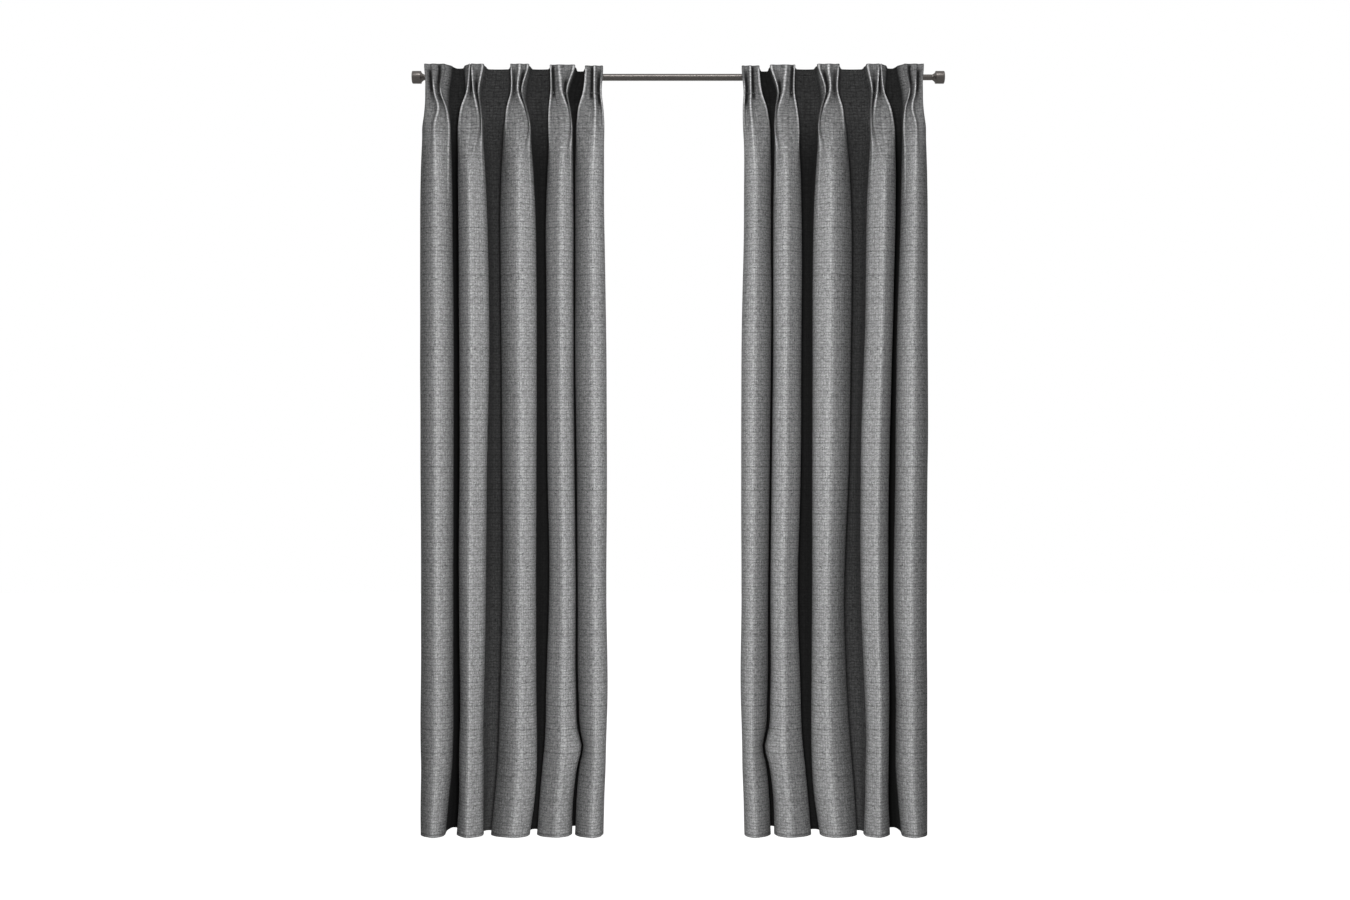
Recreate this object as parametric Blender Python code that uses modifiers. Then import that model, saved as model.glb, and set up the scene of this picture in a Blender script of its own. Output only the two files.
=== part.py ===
"""A pair of pinch-pleat curtains on a telescoping rod, with its brackets, rings and drapery hooks.

Metres, +Z up, +X along the rod, +Y into the wall. The origin is on the wall, level with the rod's
axis and midway between the two brackets. Distances named "out" are measured along X from that
middle towards either end, so one set of values makes both panels.
"""

import math

import bmesh
import bpy
from mathutils import Vector

# ---- clearances ------------------------------------------------------------------------------
GAP = 0.0003                  # between two pieces that touch
FOLD_GAP = 0.0006             # between a fold and the cloth of the next one

# ---- rod -------------------------------------------------------------------------------------
ROD_RADIUS = 0.0095           # outer tube, 3/4 in
TUBE_WALL = 0.0012
ROD_STAND_OFF = 0.085         # the rod's axis in front of the wall
INNER_TUBE_REACH = 0.0237     # how far the inner tube stands out past the right panel
INNER_TUBE_HELD = 0.545       # its length inside the outer tube
PLUG_LENGTH = 0.022
STUD_RADIUS = 0.004
STUD_LENGTH = 0.020

# ---- finials ---------------------------------------------------------------------------------
CAP_RADIUS = 0.0175
CAP_LENGTH = 0.0245
CAP_EDGE = 0.0025             # rounded edge of the cap
FLARE_LENGTH = 0.011
FLARE_RADIUS = 0.0155         # where the flare meets the cap

# ---- brackets --------------------------------------------------------------------------------
PLATE_WIDTH = 0.026
PLATE_HEIGHT = 0.064
PLATE_DROP = 0.014            # the plate's middle below the rod's axis
PLATE_THICKNESS = 0.003
PLATE_CORNER = 0.006
SOCKET_RADIUS = 0.0085        # boss on the plate that takes the arm
SOCKET_DEPTH = 0.014
ARM_RADIUS = 0.0048
ARM_DROP = 0.004              # the arm's axis below the rod's axis
CUP_THICKNESS = 0.003
CUP_WIDTH = 0.014             # along the rod
CUP_LIP = 0.005               # how far the lips rise above the rod's axis
WALL_SCREW_SPACING = 0.050
WALL_SCREW_RADIUS = 0.002
WALL_SCREW_LENGTH = 0.0028    # what shows from the plate's back to the head's seat
WALL_SCREW_HEAD = 0.0042
THUMB_RADIUS = 0.002
THUMB_HEAD_RADIUS = 0.0065
THUMB_HEAD_HEIGHT = 0.007
GRUB_RADIUS = 0.0015

# ---- rings and hooks -------------------------------------------------------------------------
RING_BORE = 0.013             # inner radius
RING_WIRE = 0.0015
EYE_BORE = 0.0025
EYE_WIRE = 0.0009
HOOK_WIRE = 0.0009
HOOK_TAIL = 0.009             # the hook's end behind the eye
PIN_FOOT = 0.045              # lowest bend of the hook, below the ring's centre
PIN_POINT = 0.0105            # point of the pin, below the ring's centre

# ---- curtain panels --------------------------------------------------------------------------
PANEL_DROP = 2.134            # 84 in from heading to hem
HEADING_ABOVE_ROD = 0.023
HEADING_HEIGHT = 0.076        # 3 in stiffened heading
OPENING_HALF = 0.185          # from the middle to the leading edge, panels drawn open
HEADING_THICKNESS = 0.005     # cloth, stiffener and lining between two pleats
PLEAT_FRONT = 0.041           # how far a pleat stands out of the heading
FOLD_DEPTH = 0.104            # front to back of a hanging fold
FOLD_FRONT = 0.050            # front of a fold, in front of the heading's back face
CLOTH_WALL = 0.004            # cloth, lining and hem, taken as one thickness
RELEASE = 0.034               # from the pinch to where the fold starts to widen
SPREAD = 0.090                # height over which it widens to the full fold
HEM_ZONE = 0.30               # height above the hem where the folds drift
# from the outer edge inwards: width, slit before the next fold, how far the pinch draws in on its
# outer and inner side, and how far the hem drifts outwards there
FOLDS = (
    dict(width=0.0900, slit=0.0135, pinch=(0.005, 0.016), hem=(-0.002, 0.020)),
    dict(width=0.0775, slit=0.0410, pinch=(0.012, 0.022), hem=(0.005, 0.014)),
    dict(width=0.0925, slit=0.0325, pinch=(0.014, 0.026), hem=(0.027, 0.020)),
    dict(width=0.0670, slit=0.0085, pinch=(0.012, 0.011), hem=(0.026, 0.004)),
    dict(width=0.0885, slit=0.0000, pinch=(0.017, 0.017), hem=(-0.002, 0.008)),
)

# ---- sizes that follow from the ones above ---------------------------------------------------
ROD_Y = -ROD_STAND_OFF
TOP_Z = HEADING_ABOVE_ROD
HEM_Z = TOP_Z - PANEL_DROP
PANEL_OUTER = OPENING_HALF + sum(f["width"] + f["slit"] for f in FOLDS)
INNER_RADIUS = ROD_RADIUS - TUBE_WALL - GAP
NECK_RADIUS = INNER_RADIUS - GAP
BRACKET_OUT = PANEL_OUTER - FOLDS[0]["width"] - FOLDS[0]["slit"] / 2
OUTER_TUBE_END = BRACKET_OUT + 0.028
INNER_TUBE_END = PANEL_OUTER + INNER_TUBE_REACH
RING_OUTER = RING_BORE + 2 * RING_WIRE
HEADING_BACK = ROD_Y - RING_OUTER - 2 * GAP
CUP_INNER = ROD_RADIUS + GAP
CUP_OUTER = CUP_INNER + CUP_THICKNESS

SIDES = {"left": -1, "right": 1}
ARC_STEPS = 8


# ---- making and placing ----------------------------------------------------------------------
for old in list(bpy.data.objects):
    bpy.data.objects.remove(old)

parts = bpy.data.collections.new("curtains_on_rod")
cutters = bpy.data.collections.new("cutters")
for collection in (parts, cutters):
    bpy.context.scene.collection.children.link(collection)


def material(name, colour, roughness, metallic):
    made = bpy.data.materials.new(name)
    made.use_nodes = True
    shader = made.node_tree.nodes["Principled BSDF"]
    shader.inputs["Base Color"].default_value = (*colour, 1)
    shader.inputs["Roughness"].default_value = roughness
    shader.inputs["Metallic"].default_value = metallic
    return made


NICKEL = material("brushed_nickel", (0.38, 0.35, 0.33), 0.35, 1)
ZINC = material("zinc_screws", (0.55, 0.55, 0.54), 0.4, 1)
STEEL = material("hook_wire", (0.60, 0.60, 0.60), 0.3, 1)
PLASTIC = material("black_plastic", (0.03, 0.03, 0.03), 0.6, 0)
CLOTH = material("grey_cloth", (0.19, 0.19, 0.19), 0.9, 0)


def add(name, mesh, finish, collection=parts):
    made = bpy.data.objects.new(name, mesh)
    collection.objects.link(made)
    mesh.materials.append(finish)
    return made


def mesh_of(name, shape):
    mesh = bpy.data.meshes.new(name)
    shape.to_mesh(mesh)
    shape.free()
    return mesh


def turned(name, profile, finish, steps=24, closed=False, collection=parts):
    """Turns a profile of (radius, height) points, given top to bottom, about the local Z axis."""
    shape = bmesh.new()
    points = [shape.verts.new((radius, 0, height)) for radius, height in profile]
    for a, b in zip(points, points[1:]):
        shape.edges.new((a, b))
    if closed:
        shape.edges.new((points[-1], points[0]))
    made = add(name, mesh_of(name, shape), finish, collection)
    screw = made.modifiers.new("turn", "SCREW")
    screw.steps = screw.render_steps = steps
    screw.use_merge_vertices = True
    screw.merge_threshold = 0.00002
    return made


ALONG_X = (0, math.pi / 2, 0)         # the local Z axis turned to +X
AGAINST_X = (0, -math.pi / 2, 0)
OUT_OF_WALL = (math.pi / 2, 0, 0)     # the local Z axis turned to -Y
UPRIGHT = (0, 0, 0)


def place(made, location, rotation=UPRIGHT):
    made.location = location
    made.rotation_euler = rotation
    return made


def combine(target, other, operation):
    other.hide_render = True
    other.display_type = "WIRE"
    cut = target.modifiers.new(operation.lower(), "BOOLEAN")
    cut.operation = operation
    cut.object = other
    cut.solver = "EXACT"


def outline(name, points, half_thickness, finish, collection=parts):
    """A flat outline in the local XY plane, thickened both ways along the local Z axis."""
    curve = bpy.data.curves.new(name, "CURVE")
    curve.dimensions = "2D"
    curve.fill_mode = "BOTH"
    curve.extrude = half_thickness
    line = curve.splines.new("POLY")
    line.points.add(len(points) - 1)
    for point, (x, y) in zip(line.points, points):
        point.co = (x, y, 0, 1)
    line.use_cyclic_u = True
    return as_mesh(add(name, curve, finish, collection), collection)


def wire(name, points, radius, finish):
    curve = bpy.data.curves.new(name, "CURVE")
    curve.dimensions = "3D"
    curve.bevel_depth = radius
    curve.bevel_resolution = 1
    curve.use_fill_caps = True
    line = curve.splines.new("POLY")
    line.points.add(len(points) - 1)
    for point, place_of in zip(line.points, points):
        point.co = (*place_of, 1)
    return as_mesh(add(name, curve, finish), parts)


def as_mesh(made, collection):
    """A curve made a mesh with its caps welded on, so that it can be cut or joined."""
    name, curve, matrix = made.name, made.data, made.matrix_world.copy()
    graph = bpy.context.evaluated_depsgraph_get()
    mesh = bpy.data.meshes.new_from_object(made.evaluated_get(graph))
    shape = bmesh.new()
    shape.from_mesh(mesh)
    bmesh.ops.remove_doubles(shape, verts=shape.verts, dist=0.000001)
    bmesh.ops.recalc_face_normals(shape, faces=shape.faces)
    shape.to_mesh(mesh)
    shape.free()
    bpy.data.objects.remove(made)
    bpy.data.curves.remove(curve)
    fresh = bpy.data.objects.new(name, mesh)
    fresh.matrix_world = matrix
    collection.objects.link(fresh)
    return fresh


def arc(centre, radius, start, end, steps):
    """Points on an arc in degrees, both ends included."""
    angles = [math.radians(start + (end - start) * k / steps) for k in range(steps + 1)]
    return [(centre[0] + radius * math.cos(a), centre[1] + radius * math.sin(a)) for a in angles]


# ---- rod: two tubes, a plug in each open end, and the finials --------------------------------
def tube(name, radius, length):
    half = length / 2
    bore = radius - TUBE_WALL
    profile = [(radius, half), (radius, -half), (bore, -half), (bore, half)]
    return turned(name, profile, NICKEL, steps=32, closed=True)


outer_start = -PANEL_OUTER
outer_length = OUTER_TUBE_END - outer_start
place(tube("outer_tube", ROD_RADIUS, outer_length),
      (outer_start + outer_length / 2, ROD_Y, 0), ALONG_X)

inner_start = OUTER_TUBE_END - INNER_TUBE_HELD
inner_length = INNER_TUBE_END - inner_start
place(tube("inner_tube", INNER_RADIUS, inner_length),
      (inner_start + inner_length / 2, ROD_Y, 0), ALONG_X)


def rod_plug(name, bore):
    """A plastic insert pushed into a tube's end, drilled for the finial's stud."""
    radius = bore - GAP
    hole = STUD_RADIUS + GAP
    profile = [(radius, 0), (radius, -PLUG_LENGTH), (hole, -PLUG_LENGTH), (hole, 0)]
    return turned(name, profile, PLASTIC, steps=20, closed=True)


def finial(name):
    """A capped trumpet, its foot at the local origin and its cap towards +Z."""
    tip = FLARE_LENGTH + CAP_LENGTH
    profile = [(0, tip)]
    profile += [(r, z) for r, z in arc((CAP_RADIUS - CAP_EDGE, tip - CAP_EDGE), CAP_EDGE, 90, 0, 4)]
    profile.append((CAP_RADIUS, FLARE_LENGTH + CAP_EDGE / 3))
    profile.append((CAP_RADIUS - CAP_EDGE / 3, FLARE_LENGTH))
    flare_steps = 6
    for k in range(flare_steps + 1):
        down = k / flare_steps
        radius = NECK_RADIUS + (FLARE_RADIUS - NECK_RADIUS) * (1 - down) ** 2
        profile.append((radius, FLARE_LENGTH * (1 - down)))
    profile += [(STUD_RADIUS, 0), (STUD_RADIUS, -STUD_LENGTH), (0, -STUD_LENGTH)]
    return turned(name, profile, NICKEL, steps=32)


place(rod_plug("left_rod_plug", ROD_RADIUS - TUBE_WALL), (outer_start, ROD_Y, 0), AGAINST_X)
place(finial("left_finial"), (outer_start - GAP, ROD_Y, 0), AGAINST_X)
place(rod_plug("right_rod_plug", INNER_RADIUS - TUBE_WALL), (INNER_TUBE_END, ROD_Y, 0), ALONG_X)
place(finial("right_finial"), (INNER_TUBE_END + GAP, ROD_Y, 0), ALONG_X)


# ---- brackets: wall plate with socket, arm with cup, and their screws ------------------------
def rounded_rectangle(width, height, corner):
    x, y = width / 2 - corner, height / 2 - corner
    points = []
    for centre, start in (((x, y), 0), ((-x, y), 90), ((-x, -y), 180), ((x, -y), 270)):
        points += arc(centre, corner, start, start + 90, 3)
    return points


def cylinder(name, radius, low, high, steps=20):
    """A plain cutter or core about the local Z axis, from low to high."""
    profile = [(0, high), (radius, high), (radius, low), (0, low)]
    return turned(name, profile, ZINC, steps, collection=cutters)


def bracket(side):
    out = SIDES[side] * BRACKET_OUT
    seat = (out, 0, -ARM_DROP)

    plate = outline(f"{side}_bracket_plate", rounded_rectangle(PLATE_WIDTH, PLATE_HEIGHT, PLATE_CORNER),
                    PLATE_THICKNESS / 2, NICKEL)
    place(plate, (out, -PLATE_THICKNESS / 2, -PLATE_DROP), OUT_OF_WALL)
    boss = cylinder(f"{side}_socket_boss", SOCKET_RADIUS, PLATE_THICKNESS / 2, SOCKET_DEPTH)
    combine(plate, place(boss, seat, OUT_OF_WALL), "UNION")
    bore = cylinder(f"{side}_socket_bore", ARM_RADIUS + GAP, PLATE_THICKNESS, SOCKET_DEPTH * 2)
    combine(plate, place(bore, seat, OUT_OF_WALL), "DIFFERENCE")
    grub_hole = cylinder(f"{side}_grub_hole", GRUB_RADIUS + GAP, ARM_RADIUS / 2, SOCKET_RADIUS * 2, 12)
    grub_y = -(PLATE_THICKNESS + SOCKET_DEPTH) / 2
    grub_foot = (out, grub_y, -ARM_DROP)
    combine(plate, place(grub_hole, grub_foot, (math.pi, 0, 0)), "DIFFERENCE")
    for row, up in (("lower", -1), ("upper", 1)):
        screw_at = (out, 0, up * WALL_SCREW_SPACING / 2 - PLATE_DROP)
        hole = cylinder(f"{side}_screw_hole_{row}", WALL_SCREW_RADIUS + GAP, -PLATE_THICKNESS,
                        PLATE_THICKNESS * 2, 16)
        combine(plate, place(hole, screw_at, OUT_OF_WALL), "DIFFERENCE")
        wall_screw(f"{side}_wall_screw_{row}", screw_at)

    # the arm's round bar ends inside the cup's back wall, short of the rod
    arm_start = PLATE_THICKNESS + GAP
    arm_end = ROD_STAND_OFF - CUP_INNER - CUP_THICKNESS / 3
    lip = CUP_LIP
    cup_outline = [(CUP_OUTER, lip)]
    cup_outline += arc((0, 0), CUP_OUTER, 0, -180, 16)
    cup_outline += [(-CUP_OUTER, lip), (-CUP_INNER, lip)]
    cup_outline += arc((0, 0), CUP_INNER, -180, 0, 16)
    cup_outline.append((CUP_INNER, lip))
    arm = outline(f"{side}_bracket_arm", cup_outline, CUP_WIDTH / 2, NICKEL)
    place(arm, (out, ROD_Y, 0), (math.pi / 2, 0, math.pi / 2))
    bar = cylinder(f"{side}_arm_bar", ARM_RADIUS, arm_start, arm_end)
    combine(arm, place(bar, seat, OUT_OF_WALL), "UNION")
    thumb_hole = cylinder(f"{side}_thumb_hole", THUMB_RADIUS + GAP, ROD_RADIUS / 2, CUP_OUTER * 2, 12)
    combine(arm, place(thumb_hole, (out, ROD_Y, 0), (math.pi, 0, 0)), "DIFFERENCE")

    # the grub screw lies flush in the socket, its point 0.3 mm from the arm
    grub = [(0, -ARM_RADIUS - GAP), (GRUB_RADIUS, -ARM_RADIUS - GAP),
            (GRUB_RADIUS, -SOCKET_RADIUS), (0, -SOCKET_RADIUS)]
    place(turned(f"{side}_grub_screw", grub, ZINC, steps=12), grub_foot)

    head_top = -CUP_OUTER - GAP
    thumb = [(0, -ROD_RADIUS - GAP), (THUMB_RADIUS, -ROD_RADIUS - GAP), (THUMB_RADIUS, head_top),
             (THUMB_HEAD_RADIUS - 0.001, head_top), (THUMB_HEAD_RADIUS, head_top - 0.001),
             (THUMB_HEAD_RADIUS, head_top - THUMB_HEAD_HEIGHT + 0.001),
             (THUMB_HEAD_RADIUS - 0.001, head_top - THUMB_HEAD_HEIGHT),
             (0, head_top - THUMB_HEAD_HEIGHT)]
    place(turned(f"{side}_thumb_screw", thumb, NICKEL, steps=16), (out, ROD_Y, 0))


def wall_screw(name, location):
    """A pan-head screw; what is driven into the wall is left out."""
    seat = PLATE_THICKNESS + GAP
    dome_steps = 3
    dome = [(WALL_SCREW_HEAD * math.cos(a), seat + WALL_SCREW_HEAD * 0.6 * math.sin(a))
            for a in (math.radians(30 * (dome_steps - k)) for k in range(dome_steps + 1))]
    profile = dome + [(WALL_SCREW_RADIUS, seat), (WALL_SCREW_RADIUS, seat - WALL_SCREW_LENGTH),
                      (0, seat - WALL_SCREW_LENGTH)]
    place(turned(name, profile, ZINC, steps=14), location, OUT_OF_WALL)


for side in SIDES:
    bracket(side)


# ---- rings and drapery hooks, one of each at every pleat -------------------------------------
def edges(index):
    """Outer and inner edge of a fold's hanging part, out from the middle."""
    outer = PANEL_OUTER - sum(f["width"] + f["slit"] for f in FOLDS[:index])
    return outer, outer - FOLDS[index]["width"]


def pinch_edges(index):
    outer, inner = edges(index)
    draw_outer, draw_inner = FOLDS[index]["pinch"]
    return outer - draw_outer, inner + draw_inner


def pleat_out(index):
    return sum(pinch_edges(index)) / 2


def carried_on(side, index):
    """Radius of the tube that a ring hangs on: the outermost ring on the right is past the step."""
    past_the_step = side == "right" and pleat_out(index) > OUTER_TUBE_END
    return INNER_RADIUS if past_the_step else ROD_RADIUS


def torus(name, major, minor, major_segments, minor_segments, collection):
    """A wire ring about the local Z axis."""
    shape = bmesh.new()
    circles = []
    for k in range(major_segments):
        turn = 2 * math.pi * (k + 0.5) / major_segments
        circle = []
        for m in range(minor_segments):
            round_wire = 2 * math.pi * m / minor_segments
            radius = major + minor * math.cos(round_wire)
            circle.append(shape.verts.new((radius * math.cos(turn), radius * math.sin(turn),
                                           minor * math.sin(round_wire))))
        circles.append(circle)
    for k in range(major_segments):
        a, b = circles[k], circles[(k + 1) % major_segments]
        for m in range(minor_segments):
            n = (m + 1) % minor_segments
            shape.faces.new((a[m], b[m], b[n], a[n]))
    bmesh.ops.recalc_face_normals(shape, faces=shape.faces)
    return add(name, mesh_of(name, shape), NICKEL, collection)


def ring_and_hook(side, index):
    x = SIDES[side] * pleat_out(index)
    ring_z = carried_on(side, index) + GAP - RING_BORE
    eye_z = ring_z - RING_OUTER - EYE_BORE - EYE_WIRE * 0.6
    number = index + 1

    ring = torus(f"{side}_ring_{number}", RING_BORE + RING_WIRE, RING_WIRE, 20, 6, parts)
    place(ring, (x, ROD_Y, ring_z), ALONG_X)
    eye = torus(f"{side}_eye_{number}", EYE_BORE + EYE_WIRE, EYE_WIRE, 10, 6, cutters)
    combine(ring, place(eye, (x, ROD_Y, eye_z), OUT_OF_WALL), "UNION")

    # from the tail behind the eye, over the eye's lower wire, down, round and up as the pin
    saddle = eye_z - EYE_BORE + GAP + HOOK_WIRE
    behind = ROD_Y + EYE_WIRE * 2 + HOOK_WIRE + 2 * GAP
    before = ROD_Y - EYE_WIRE * 2 - HOOK_WIRE - 2 * GAP
    pin_y = HEADING_BACK + HOOK_WIRE + GAP
    bend = (before - pin_y) / 2
    foot = ring_z - PIN_FOOT + bend + HOOK_WIRE
    route = [(behind + 0.0020, saddle - HOOK_TAIL), (behind + 0.0012, saddle - 0.002),
             (behind, saddle + 0.0002), (before, saddle + 0.0002), (before - 0.0012, saddle - 0.002)]
    route += [(before - bend + bend * math.cos(a), foot - bend * math.sin(a))
              for a in (math.radians(30 * k) for k in range(7))]
    route.append((pin_y, ring_z - PIN_POINT))
    wire(f"{side}_hook_{number}", [(x, y, z) for y, z in route], HOOK_WIRE, STEEL)


for side in SIDES:
    for index in range(len(FOLDS)):
        ring_and_hook(side, index)


# ---- curtain panels: five folds each, open at the back, with the cloth carried on to the next --
def hem_edges(index):
    outer, inner = edges(index)
    drift_outer, drift_inner = FOLDS[index]["hem"]
    return outer + drift_outer, inner + drift_inner


def between(a, b, share):
    return tuple(p + (q - p) * share for p, q in zip(a, b))


FRONT = HEADING_BACK - FOLD_FRONT
BACK = FRONT + FOLD_DEPTH
PLEAT_FACE = HEADING_BACK - HEADING_THICKNESS - PLEAT_FRONT
PINCH_Z = TOP_Z - HEADING_HEIGHT
RELEASE_Z = PINCH_Z - RELEASE
FULL_Z = RELEASE_Z - SPREAD
DRIFT_Z = HEM_Z + HEM_ZONE


def stations(index):
    """Height, edges, front, back and how far the fold is hollow, from heading to hem."""
    pinch, full, hem = pinch_edges(index), edges(index), hem_edges(index)
    return [
        (TOP_Z, between(pinch, full, 0.2), PLEAT_FACE, HEADING_BACK, 0),
        (PINCH_Z, pinch, PLEAT_FACE, HEADING_BACK, 0),
        (RELEASE_Z, between(pinch, full, 0.45), (PLEAT_FACE + FRONT) / 2,
         HEADING_BACK + (BACK - HEADING_BACK) * 0.3, 1),
        (FULL_Z, full, FRONT, BACK, 1),
        (DRIFT_Z, full, FRONT, BACK, 1),
        ((DRIFT_Z + HEM_Z) / 2, between(full, hem, 0.55), FRONT, BACK, 1),
        (HEM_Z, hem, FRONT, BACK, 1),
    ]


def section(station, next_outer):
    """A fold's outline from above, as (out, y): round front, cloth to the next fold, hollow."""
    _, (outer, inner), front, back, hollow = station
    middle, half = (outer + inner) / 2, (outer - inner) / 2
    shoulder = front + min(half, (back - front) * 0.5)
    turns = [math.pi * k / ARC_STEPS for k in range(ARC_STEPS + 1)]
    points = [(outer, back)]
    points += [(middle + half * math.cos(turn), shoulder - (shoulder - front) * math.sin(turn))
               for turn in turns]
    if next_outer is None:
        points.append((inner, back))
    else:
        reach = next_outer + FOLD_GAP
        points += [(inner, back - HEADING_THICKNESS), (reach, back - HEADING_THICKNESS), (reach, back)]
    # the hollow has no depth in the stiffened heading, where its points lie along the back
    points.append((inner + CLOTH_WALL, back))
    for turn in turns[-2:0:-1]:
        inside = shoulder - (shoulder - front - CLOTH_WALL) * math.sin(turn)
        points.append((middle + (half - CLOTH_WALL) * math.cos(turn), back + (inside - back) * hollow))
    points.append((outer - CLOTH_WALL, back))
    return points


def fold(side, index):
    following = stations(index + 1) if index + 1 < len(FOLDS) else None
    shape = bmesh.new()
    loops = []
    for level, station in enumerate(stations(index)):
        next_outer = following[level][1][0] if following else None
        loops.append([shape.verts.new((SIDES[side] * out, y, station[0]))
                      for out, y in section(station, next_outer)])
    count = len(loops[0])
    for upper, lower in zip(loops, loops[1:]):
        for k in range(count):
            shape.faces.new((upper[k], upper[k - 1], lower[k - 1], lower[k]))
    shape.faces.new(loops[0])
    shape.faces.new(loops[-1])
    bmesh.ops.recalc_face_normals(shape, faces=shape.faces)
    name = f"{side}_fold_{index + 1}"
    add(name, mesh_of(name, shape), CLOTH)


for side in SIDES:
    for index in range(len(FOLDS)):
        fold(side, index)

for made in parts.objects:
    made.data.shade_smooth()
    made.data.set_sharp_from_angle(angle=math.radians(35))
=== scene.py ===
"""Window curtains on a rod: two pinch-pleat panels of heathered grey basket weave, drawn open."""

import math

import bmesh
import bpy
import numpy as np
from mathutils import Matrix, Vector


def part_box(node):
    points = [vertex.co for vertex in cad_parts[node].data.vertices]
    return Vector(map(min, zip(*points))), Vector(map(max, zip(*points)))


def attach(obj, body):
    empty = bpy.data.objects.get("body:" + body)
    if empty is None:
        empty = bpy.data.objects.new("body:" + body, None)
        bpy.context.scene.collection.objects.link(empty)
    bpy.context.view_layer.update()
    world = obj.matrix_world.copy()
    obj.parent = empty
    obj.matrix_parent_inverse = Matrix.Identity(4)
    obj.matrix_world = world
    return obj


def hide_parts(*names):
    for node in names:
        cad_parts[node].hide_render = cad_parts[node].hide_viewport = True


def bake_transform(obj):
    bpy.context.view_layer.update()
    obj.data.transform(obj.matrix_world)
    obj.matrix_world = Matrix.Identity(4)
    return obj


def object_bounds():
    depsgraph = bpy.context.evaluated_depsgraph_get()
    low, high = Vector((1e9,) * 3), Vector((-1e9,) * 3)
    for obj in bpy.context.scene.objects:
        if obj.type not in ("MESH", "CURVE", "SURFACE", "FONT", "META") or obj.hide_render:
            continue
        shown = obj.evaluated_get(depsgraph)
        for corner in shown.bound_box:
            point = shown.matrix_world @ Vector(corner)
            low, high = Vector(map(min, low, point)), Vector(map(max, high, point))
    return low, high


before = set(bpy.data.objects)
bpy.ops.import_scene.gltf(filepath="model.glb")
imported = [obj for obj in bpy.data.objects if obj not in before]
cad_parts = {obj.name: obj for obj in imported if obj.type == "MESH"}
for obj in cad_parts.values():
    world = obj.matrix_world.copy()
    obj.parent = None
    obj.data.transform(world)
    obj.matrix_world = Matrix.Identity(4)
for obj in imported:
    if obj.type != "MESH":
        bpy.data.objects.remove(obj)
cad_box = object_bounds()
scene = bpy.context.scene


# ---- room and camera ----------------------------------------------------------------------------
# A plain pale floor a hand below the hems, in an even white room, with the camera level with the
# middle of the panels. A tall soft box in front and three behind and beside light only the cloth,
# and one in front and above lights only the metal.
FLOOR_BELOW_HEM = 0.19
FLOOR_HALF = 9.0
FLOOR_WHITE = (0.86, 0.86, 0.86, 1)
FLOOR_GLOW = 0.95             # so that the camera sees the floor almost as white as the room
WHITE = (1, 1, 1, 1)
CAMERA_HEIGHT = -1.0424
CAMERA_BACK = 4.352
CAMERA_ASIDE = 0.00275
LENS = 40.68
ROOM_SEEN = 1.0               # brightness of the white room as the camera sees it
ROOM_FILL = 0.20              # and as the cloth receives it
ROOM_GLOSS = 0.30             # and as the metal mirrors it, at its brightest

lowest, highest = (Vector(corner) for corner in cad_box)
middle_height = (lowest.z + highest.z) / 2


def feed(tree, node, inputs):
    """Sets each input to a value, or links it to another node's output."""
    for key, value in inputs.items():
        if isinstance(value, bpy.types.NodeSocket):
            tree.links.new(value, node.inputs[key])
        else:
            node.inputs[key].default_value = value


def add_node(tree, kind, inputs=None, **settings):
    """A new node with these settings and inputs."""
    made = tree.nodes.new(kind)
    for key, value in settings.items():
        setattr(made, key, value)
    feed(tree, made, inputs or {})
    return made


def calc(tree, operation, a, b=0.0, c=0.0):
    """One step of arithmetic on values or node outputs."""
    inputs = {0: a, 1: b, 2: c} if operation == "MULTIPLY_ADD" else {0: a, 1: b}
    return add_node(tree, "ShaderNodeMath", inputs, operation=operation).outputs[0]


def ranged(tree, value, low, high, to_low=0.0, to_high=1.0):
    """Carries a value from one range smoothly over to another, and no further at either end."""
    inputs = {"Value": value, "From Min": low, "From Max": high, "To Min": to_low, "To Max": to_high}
    return add_node(tree, "ShaderNodeMapRange", inputs, interpolation_type="SMOOTHSTEP").outputs["Result"]


def new_material(name):
    made = bpy.data.materials.new(name)
    made.use_nodes = True
    return made, made.node_tree, made.node_tree.nodes["Principled BSDF"]


floor_mesh = bpy.data.meshes.new("floor")
floor_mesh.from_pydata([(x * FLOOR_HALF, y * FLOOR_HALF, lowest.z - FLOOR_BELOW_HEM)
                        for x, y in ((-1, -1), (1, -1), (1, 1), (-1, 1))], [], [(0, 1, 2, 3)])
floor = bpy.data.objects.new("floor", floor_mesh)
scene.collection.objects.link(floor)

pale_floor, tree, shader = new_material("pale_floor")
seen = add_node(tree, "ShaderNodeLightPath").outputs["Is Camera Ray"]
feed(tree, shader, {"Base Color": FLOOR_WHITE, "Roughness": 0.9, "Emission Color": WHITE,
                    "Emission Strength": calc(tree, "MULTIPLY", seen, FLOOR_GLOW)})
floor_mesh.materials.append(pale_floor)

world = bpy.data.worlds.new("white_room")
world.use_nodes = True
tree = world.node_tree
path = add_node(tree, "ShaderNodeLightPath")
direction = add_node(tree, "ShaderNodeTexCoord").outputs["Generated"]
height = add_node(tree, "ShaderNodeSeparateXYZ", {0: direction}).outputs["Z"]
mirrored = ranged(tree, height, -0.5, 0.7, 0.4 * ROOM_GLOSS, ROOM_GLOSS)
fill = calc(tree, "MULTIPLY", path.outputs["Is Diffuse Ray"], ROOM_FILL)
for ray, brightness in (("Is Glossy Ray", mirrored), ("Is Camera Ray", ROOM_SEEN)):
    fill = calc(tree, "MULTIPLY_ADD", path.outputs[ray], brightness, fill)
feed(tree, tree.nodes["Background"], {"Strength": fill, "Color": WHITE})
scene.world = world
scene.view_settings.view_transform = "Standard"

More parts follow.
